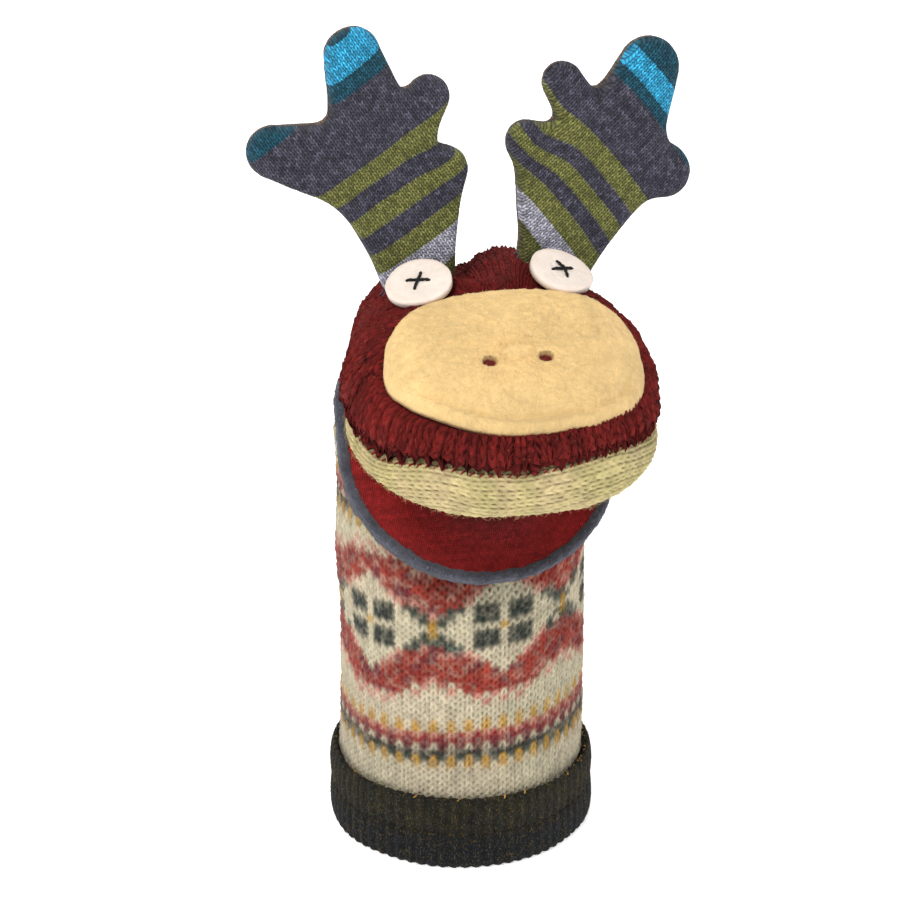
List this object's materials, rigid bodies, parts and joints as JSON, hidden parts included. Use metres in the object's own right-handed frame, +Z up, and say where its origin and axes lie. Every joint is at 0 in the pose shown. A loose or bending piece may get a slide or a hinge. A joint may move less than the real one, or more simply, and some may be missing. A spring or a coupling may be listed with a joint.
{
  "type": "sock puppet",
  "caption": "Knitted moose hand puppet: tube sleeve with a ribbed cuff, padded head with a moving mouth, felt eyes and stuffed antlers.",
  "frame": {"origin": "centre of the hand opening, in the plane of the cuff's lower edge", "axes": "+Z up along the sleeve, the muzzle points along -Y, the puppet's own left is +X"},
  "size_m": [0.1933, 0.1835, 0.3809],
  "materials": {
    "sleeve_knit": "brushed wool Fair Isle stockinette",
    "seam_tape": "overlocked wool seam",
    "cuff_rib": "flecked wool rib",
    "ochre_thread": "wool yarn",
    "red_knit": "chunky heathered wool stockinette",
    "lip_knit": "chunky wool knit",
    "red_thread": "wool yarn",
    "boiled_wool": "felted wool",
    "filling": "polyester fibre filling",
    "lining": "brushed jersey",
    "eye_felt": "wool felt",
    "black_yarn": "thick yarn",
    "grey_thread": "wool yarn",
    "jaw_jersey": "fine wool jersey",
    "grey_felt": "felted grey wool",
    "stripe_knit": "fine striped lambswool stockinette",
    "brown_knit": "fine brown wool jersey"
  },
  "bodies": {
    "sleeve": {"sleeve_knit": "sleeve_knit", "sleeve_back_seam": "seam_tape", "cuff_band": "cuff_rib", "cuff_hem": "cuff_rib", "cuff_join_thread": "ochre_thread"},
    "head": {"neck_gusset": "red_knit", "head_top_panel": "red_knit", "head_back_panel": "red_knit", "palate_panel": "lip_knit", "lip_seam_thread": "red_thread", "muzzle_patch": "boiled_wool", "head_stuffing": "filling", "finger_pocket": "lining", "mouth_corner_tacks": "red_thread", "eye_left": "eye_felt", "eye_right": "eye_felt", "eye_cross_left": "black_yarn", "eye_cross_right": "black_yarn", "antler_stitches_left": "grey_thread", "antler_stitches_right": "grey_thread"},
    "lower_jaw": {"jaw_lining": "jaw_jersey", "jaw_padding": "filling", "chin_shell": "grey_felt", "chin_tacking": "grey_thread"},
    "antler_left": {"antler_front_left": "stripe_knit", "antler_back_left": "brown_knit", "antler_stuffing_left": "filling"},
    "antler_right": {"antler_front_right": "stripe_knit", "antler_back_right": "brown_knit", "antler_stuffing_right": "filling"}
  },
  "joints": [
    {"name": "neck_nod", "type": "hinge", "parent": "sleeve", "child": "head", "pos_m": [0, 0, 0.205], "axis": [1, 0, 0], "range_deg": [-15, 6], "deforming": ["neck_gusset"]},
    {"name": "jaw_hinge", "type": "hinge", "parent": "head", "child": "lower_jaw", "pos_m": [0, -0.015, 0.226], "axis": [1, 0, 0], "range_deg": [-33, 6]},
    {"name": "antler_left_flop", "type": "hinge", "parent": "head", "child": "antler_left", "pos_m": [0.033, -0.014, 0.272], "axis": [1, 0, 0], "range_deg": [-15, 12], "stiffness_Nm_per_rad": 0.3},
    {"name": "antler_right_flop", "type": "hinge", "parent": "head", "child": "antler_right", "pos_m": [-0.025, -0.014, 0.272], "axis": [1, 0, 0], "range_deg": [-15, 12], "stiffness_Nm_per_rad": 0.3}
  ]
}
